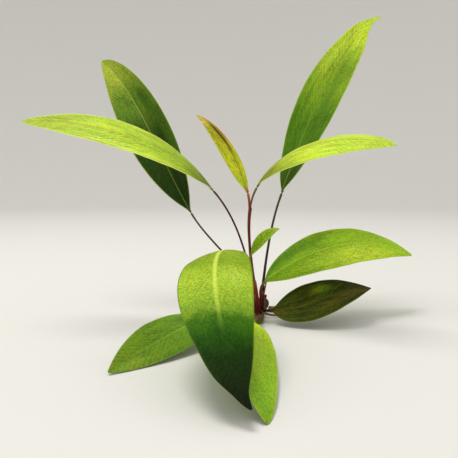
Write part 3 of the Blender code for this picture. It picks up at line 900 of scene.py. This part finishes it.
def stalk_material(name, leaf, look):
    n = Nodes("petiole_" + name)
    t, across, up = n.attribute("tube_ta")
    streak_rates = (leaf.stalk_length / 6.0, 3.0, 3.0)
    fleck_rates = (leaf.stalk_length / 0.9, 3.0, 3.0)
    streaks = n.noise(n.place((t, across, up), streak_rates), scale=1.6, detail=4.0)
    flecks = n.noise(n.place((t, across, up), fleck_rates))
    colour_place = n.around(streaks, NOISE_MIDDLE, gain=0.2, base=t)
    colour = n.ramp(colour_place, look.stalk, places=(0, 0.5, 0.86, 1))
    shade = n.around(streaks, NOISE_MIDDLE, gain=1.5, base=1.0)
    shade = n.around(flecks, NOISE_MIDDLE, gain=0.8, base=shade)
    colour = n.scale(colour, n.math("MAXIMUM", shade, DARKEST_STALK))
    share = n.math("MULTIPLY", n.smooth(flecks, low=0.62, high=0.72), FLECK_SHARE)
    colour = n.mix(share, colour, FLECK_BROWN)
    n.bump(n.math("MULTIPLY_ADD", flecks, 0.4, streaks), distance=0.0002, strength=0.5)
    roughness = n.ranged(streaks, low=0.35, high=0.65)
    return n.finish(colour, roughness, specular=0.2, glow=0.12, glow_colour=RED_GLOW)


def add_scale(number, scale, material):
    """Papery scale that clasps the base of one stalk and ends in a loose point."""
    leaf = LEAVES[scale.leaf]
    line = stalk_line(leaf)

    def shape(t, angle, inner):
        s = np.cos(angle) * inner
        centre, left, face = line.at(t * scale.height / leaf.stalk_length)
        centre = centre - line.forward[0] * (SCALE_TUCK * (1 - t) ** 2)[:, None]
        ragged = 1 + SCALE_RAGGED * np.sin(21 * t + number)
        turn = np.radians(scale.facing + scale.wrap / 2 * s * np.sqrt(1 - t) * ragged)
        radius = leaf.stalk_radius * SCALE_LOOSENESS + SCALE_GAP
        radius = radius + scale.flare * t**2 + SCALE_OPENING * s**2 * t
        radius = radius + SCALE_CREASE * np.sin(9 * t + 4 * s + number)
        radius = radius + SCALE_THICK / 2 * np.sin(angle) * inner
        return round_section(centre, left, face, turn, radius), {"tube_ta": (t, s, np.sin(angle))}

    mesh = tube_mesh(f"scale_{number}", SCALE_CELLS, shape)
    add_piece(f"scale_{number}", mesh, material, "stalk_red")


def scale_material():
    n = Nodes("scale")
    t, s, _ = n.attribute("tube_ta")
    fibres = n.noise(n.place((t, s), (1.5, 7.0)), detail=5.0)
    colours = (srgb(78, 14, 12), srgb(132, 28, 22), srgb(150, 46, 32), srgb(150, 92, 58))
    colour = n.ramp(n.around(fibres, NOISE_MIDDLE, gain=0.7, base=t), colours)
    colour = n.scale(colour, n.around(fibres, NOISE_MIDDLE, gain=1.6, base=1.0))
    n.bump(fibres, distance=0.0002, strength=0.7)
    roughness = n.ranged(fibres, low=0.45, high=0.75)
    return n.finish(colour, roughness, specular=0.15, glow=0.1, glow_colour=RED_GLOW)


def stem_radius(along):
    return STEM_TIP_RADIUS + STEM_GAIN * (1 - np.exp((STEM_FRONT - along) / STEM_GAIN_LENGTH))


def stem_side(along):
    return STEM_BEND * np.maximum(0, along - STEM_BEND_START) ** 2


def add_creeping_stem():
    """Creeping stem with ring scars, lumps and a rounded growing tip, flat where it lies."""

    def shape(t, angle, inner):
        distance = STEM_LENGTH * t**STEM_CROWDING
        along = STEM_FRONT + distance
        radius = stem_radius(along)
        dome = np.sqrt(1 - (1 - np.minimum((distance + STEM_DOME_START) / STEM_DOME, 1)) ** 2)
        skew = SCAR_SKEW * np.sin(angle + 1.0)
        rings = bell(((distance + skew) / SCAR_LENGTH + 0.5) % 1 - 0.5, SCAR_WIDTH)
        lumps = sum(lump.height * np.sin(lump.around * angle + lump.along * distance) for lump in STEM_LUMPS)
        past_edge = np.clip((t - STEM_CUT_START) / (1 - STEM_CUT_START), 0, 1)
        cut_edge = 1 - STEM_CUT_ROUNDING * past_edge**2
        out = (radius * dome + SCAR_BULGE * rings + lumps) * cut_edge * inner
        x = stem_side(along) + out * np.cos(angle)
        z = radius - STEM_SUNK + out * np.sin(angle)
        points = np.stack([x, along, np.maximum(z, 0)], -1)
        return points, tube_place(t, angle)

    mesh = tube_mesh("creeping_stem", STEM_CELLS, shape)
    add_piece("creeping_stem", mesh, stem_material(), "rhizome", "rhizome")


def stem_material():
    n = Nodes("creeping_stem")
    t, across, up = n.attribute("tube_ta")
    distance = n.math("MULTIPLY", n.math("POWER", t, STEM_CROWDING), STEM_LENGTH)
    place = n.place((distance, across, up), (1.0, 4.0, 4.0))
    rough = n.noise(place, scale=0.9, detail=5.0)
    grain = n.noise(place, scale=3.5, detail=4.0)
    colours = (srgb(100, 112, 30), srgb(98, 78, 28), srgb(86, 58, 26), srgb(76, 48, 22))
    colour = n.ramp(n.around(rough, NOISE_MIDDLE, gain=0.7, base=t), colours)
    ring = n.math("COSINE", n.math("MULTIPLY", distance, 2 * np.pi / SCAR_LENGTH))
    scar = n.smooth(n.math("MULTIPLY_ADD", rough, 0.5, ring), low=1.05, high=1.3)
    scar = n.math("MULTIPLY", scar, n.smooth(t, low=0.03, high=0.1))
    colour = n.mix(n.math("MULTIPLY", scar, SCAR_SHARE), colour, SCAR_BROWN)
    colour = n.scale(colour, n.ranged(grain, low=0.55, high=1.45))
    n.bump(n.math("MULTIPLY_ADD", grain, 0.4, rough), distance=0.0006, strength=0.8)
    return n.finish(colour, n.ranged(grain, low=0.5, high=0.8), specular=0.12)


def add_stub(number, stub, material):
    """Dry, uneven end of an old stalk."""
    radius = float(stem_radius(stub.along))
    x = float(stem_side(stub.along)) + stub.side * radius
    z = radius - STEM_SUNK + radius * np.sqrt(1 - stub.side**2)
    line = Line(
        np.array((x, stub.along, z)) - direction(stub.heading, stub.rise) * STUB_DEPTH,
        stub.length + STUB_DEPTH,
        lambda t: stub.heading + STUB_TURN * t,
        lambda t: stub.rise + STUB_LIFT * t,
    )

    def shape(t, angle, inner):
        centre, left, face = line.at(t)
        uneven = STUB_RIDGES * np.sin(3 * angle + number) + STUB_FIBRES * np.sin(7 * angle)
        radius = stub.radius * (1 + STUB_FLARE * (1 - t) ** 2 + uneven) * inner
        ragged = STUB_RAGGED * np.sin(4 * angle + number) * inner * t**6
        centre = centre + direction(stub.heading, stub.rise) * ragged[:, None]
        return round_section(centre, left, face, angle, radius), tube_place(t, angle)

    mesh = tube_mesh(f"old_stalk_{number}", STUB_CELLS, shape)
    add_piece(f"old_stalk_{number}", mesh, material, "rhizome")


def stub_material():
    n = Nodes("old_stalk")
    t, across, up = n.attribute("tube_ta")
    fibres = n.noise(n.place((t, across, up), (1.2, 4.0, 4.0)), scale=1.3, detail=5.0)
    colours = (srgb(70, 50, 22), srgb(92, 58, 28), srgb(120, 80, 42), srgb(58, 38, 22))
    colour = n.ramp(n.around(fibres, NOISE_MIDDLE, gain=0.6, base=t), colours)
    colour = n.scale(colour, n.around(fibres, NOISE_MIDDLE, gain=1.4, base=1.0))
    n.bump(fibres, distance=0.0004, strength=0.8)
    return n.finish(colour, roughness=0.75, specular=0.15)


def root_line(root):
    offset = float(stem_radius(root.along)) + SCAR_BULGE + STEM_GAP
    start = np.array((float(stem_side(root.along)) + root.side * offset, root.along, 0.0))
    return Line(
        start,
        root.length,
        lambda t: root.heading + root.turn * t + ROOT_WIGGLE * np.sin(ROOT_WAVES * t + root.along),
        lambda t: 0 * t,
    )


def root_radius(t):
    return between((ROOT_RADIUS, ROOT_TIP_RADIUS), t)


def add_root(number, root, material):
    """Root that comes down from the stem's side and runs along the floor, with its side rootlets."""
    line = root_line(root)

    def shape(t, angle, inner):
        centre, left, face = line.at(t)
        radius = root_radius(t)
        drop = (ROOT_START_HEIGHT - ROOT_RADIUS) * np.exp(-t * root.length / ROOT_SETTLE)
        uneven = 1 - ROOT_UNEVEN * (1 + np.sin(ROOT_RINGS * t + 2 * angle)) * np.sin(np.pi * t)
        tip = np.sqrt(np.clip((1 - t) / ROOT_TIP_LENGTH, 0, 1))
        centre = centre + UP * (radius + drop)[:, None]
        radius = radius * uneven * tip * inner
        return round_section(centre, left, face, angle, radius), tube_place(t, angle)

    mesh = tube_mesh(f"root_fine_{number}", TUBE_CELLS, shape)
    add_piece(f"root_fine_{number}", mesh, material, "root", f"root_{number}")
    chance = np.random.default_rng(number)
    shapes = [rootlet_shape(line, order, chance) for order in range(ROOTLETS_EACH)]
    mesh = tube_mesh(f"rootlets_{number}", ROOTLET_CELLS, *shapes)
    add_piece(f"rootlets_{number}", mesh, material, "root")


def rootlet_shape(line, order, chance):
    """Shape of one hair-thin rootlet that leaves its root sideways and stays just above the floor."""
    place = ROOTLETS_START + ROOTLETS_SPAN * (order + chance.uniform(0, ROOTLET_SPREAD)) / ROOTLETS_EACH
    side = (-1) ** order
    (start,), (left,), _ = line.at(np.array([place]))
    start = start + UP * root_radius(place)
    left_heading = float(np.degrees(np.arctan2(left[1], left[0])))
    heading = left_heading + 90 * (side - 1) - side * chance.uniform(*ROOTLET_ANGLES)
    curl = chance.uniform(-ROOTLET_CURL, ROOTLET_CURL)
    fine = Line(start, chance.uniform(*ROOTLET_LENGTHS), lambda t: heading + curl * t, lambda t: 0 * t)

    def shape(t, angle, inner):
        centre, left, face = fine.at(t)
        radius = ROOTLET_RADIUS * (1 - 0.5 * t) * inner
        settle = (start[2] - ROOTLET_RADIUS) * (1 - (1 - t) ** 2)
        centre = centre - UP * settle[:, None]
        return round_section(centre, left, face, angle, radius), tube_place(between(ROOTLET_SHADES, t), angle)

    return shape


def root_material():
    n = Nodes("root_fine")
    t, across, up = n.attribute("tube_ta")
    grain = n.noise(n.place((t, across, up), (30.0, 1.2, 1.2)), detail=4.0)
    colours = (srgb(112, 88, 52), srgb(158, 134, 90), srgb(190, 172, 128), srgb(210, 200, 162))
    colour = n.ramp(n.around(grain, NOISE_MIDDLE, gain=0.5, base=t), colours)
    colour = n.scale(colour, n.ranged(grain, low=0.6, high=1.4))
    n.bump(grain, distance=0.0002, strength=0.6)
    return n.finish(colour, roughness=0.6, specular=0.3)


def add_camera():
    camera = bpy.data.objects.new("camera", bpy.data.cameras.new("camera"))
    bpy.context.scene.collection.objects.link(camera)
    camera.location = Vector(EYE) * MM
    camera.rotation_euler = (np.radians(90 - PITCH), 0, 0)
    camera.data.lens = LENS
    camera.data.sensor_width = SENSOR_WIDTH
    camera.data.clip_start = CLIP_START
    bpy.context.scene.camera = camera


def add_floor():
    """Round floor that curves up into a wall all the way round."""
    turns = np.linspace(0, np.pi / 2, FLOOR_BEND_STEPS)
    radii = FLOOR_RADIUS + FLOOR_BEND * np.sin(turns)
    heights = FLOOR_LEVEL + FLOOR_BEND * (1 - np.cos(turns))
    flat = [(0.0, FLOOR_LEVEL), (FLOOR_RADIUS / 2, FLOOR_LEVEL)]
    profile = [*flat, *zip(radii, heights), (FLOOR_RADIUS + FLOOR_BEND, WALL_TOP)]
    wall = bmesh.new()
    verts = [wall.verts.new((radius, 0, height)) for radius, height in profile]
    edges = [wall.edges.new(pair) for pair in zip(verts, verts[1:])]
    bmesh.ops.spin(
        wall, geom=[*verts, *edges], cent=(0, 0, 0), axis=(0, 0, 1), angle=2 * np.pi, steps=FLOOR_STEPS,
        use_merge=True,
    )
    bmesh.ops.remove_doubles(wall, verts=wall.verts, dist=WELD)
    mesh = bpy.data.meshes.new("floor")
    wall.to_mesh(mesh)
    wall.free()
    mesh.shade_smooth()
    mesh.materials.append(Nodes("floor").finish(FLOOR_COLOUR, roughness=0.9, specular=0.2))
    floor = bpy.data.objects.new("floor", mesh)
    bpy.context.scene.collection.objects.link(floor)


def add_light(name, place, aim, size, power, colour):
    """Round lamp. Its place, aim and size are in metres."""
    lamp = bpy.data.lights.new(name, "AREA")
    lamp.shape = "DISK"
    lamp.size = size
    lamp.energy = power
    lamp.color = colour
    light = bpy.data.objects.new(name, lamp)
    bpy.context.scene.collection.objects.link(light)
    light.location = place
    light.rotation_euler = (Vector(aim) - Vector(place)).to_track_quat("-Z", "Y").to_euler()


def add_lights():
    add_light("key", place=(-0.35, 0.05, 1.7), aim=(0, 0, 0.08), size=0.8, power=15, colour=(1, 0.98, 0.92))
    add_light("front", place=(-0.6, -1.3, 0.9), aim=(0, 0, 0.1), size=1.0, power=2, colour=(1, 0.98, 0.94))
    world = bpy.data.worlds.new("studio")
    world.use_nodes = True
    sky = world.node_tree.nodes["Background"]
    sky.inputs["Color"].default_value = SKY_COLOUR
    sky.inputs["Strength"].default_value = SKY_STRENGTH
    bpy.context.scene.world = world
    bpy.context.scene.view_settings.view_transform = "Standard"


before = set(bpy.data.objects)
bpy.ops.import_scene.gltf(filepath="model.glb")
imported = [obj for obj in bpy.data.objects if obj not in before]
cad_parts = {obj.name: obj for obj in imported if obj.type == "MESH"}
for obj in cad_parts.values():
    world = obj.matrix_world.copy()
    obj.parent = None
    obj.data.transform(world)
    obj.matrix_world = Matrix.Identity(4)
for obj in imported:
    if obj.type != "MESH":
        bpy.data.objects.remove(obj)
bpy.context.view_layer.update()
add_camera()
add_floor()
add_lights()
for name, leaf in LEAVES.items():
    add_blade(name, leaf, LOOKS[name])
    add_stalk(name, leaf, LOOKS[name])
add_creeping_stem()
papery = scale_material()
for number, scale in enumerate(SCALES, 1):
    add_scale(number, scale, papery)
dry = stub_material()
for number, stub in enumerate(STUBS, 1):
    add_stub(number, stub, dry)
cream = root_material()
for number, root in enumerate(ROOTS, 1):
    add_root(number, root, cream)
